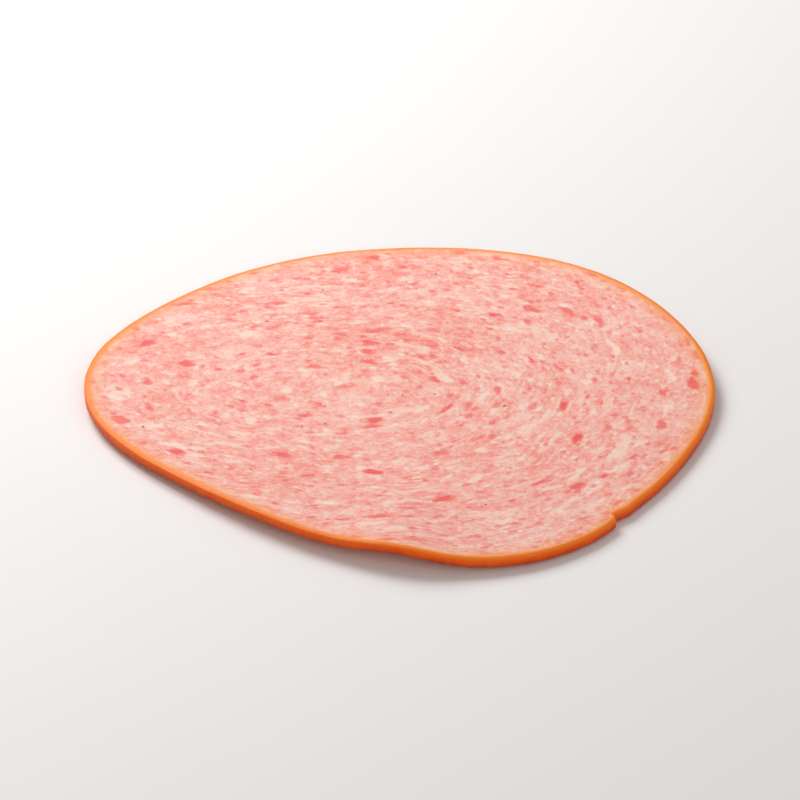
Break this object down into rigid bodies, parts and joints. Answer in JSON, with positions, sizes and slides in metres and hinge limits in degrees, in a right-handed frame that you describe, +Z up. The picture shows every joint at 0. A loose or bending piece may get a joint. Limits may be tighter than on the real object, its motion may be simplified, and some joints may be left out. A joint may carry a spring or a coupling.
{
  "type": "cooked sausage slice",
  "caption": "Thin round slice of pink cooked sausage with a narrow smoked rim, a small seam notch and a slightly curled edge, lying flat.",
  "frame": {"origin": "under the middle of the slice's box, on the surface that the slice lies on", "axes": "+Z up through the slice's thickness; the section's flatter flank faces between -X and -Y; the seam notch is in the rim between -Y and +X"},
  "size_m": [0.0968, 0.0982, 0.0042],
  "materials": {
    "sausage_meat": "satin"
  },
  "bodies": {
    "root": {"sausage_slice": "sausage_meat"}
  },
  "joints": []
}
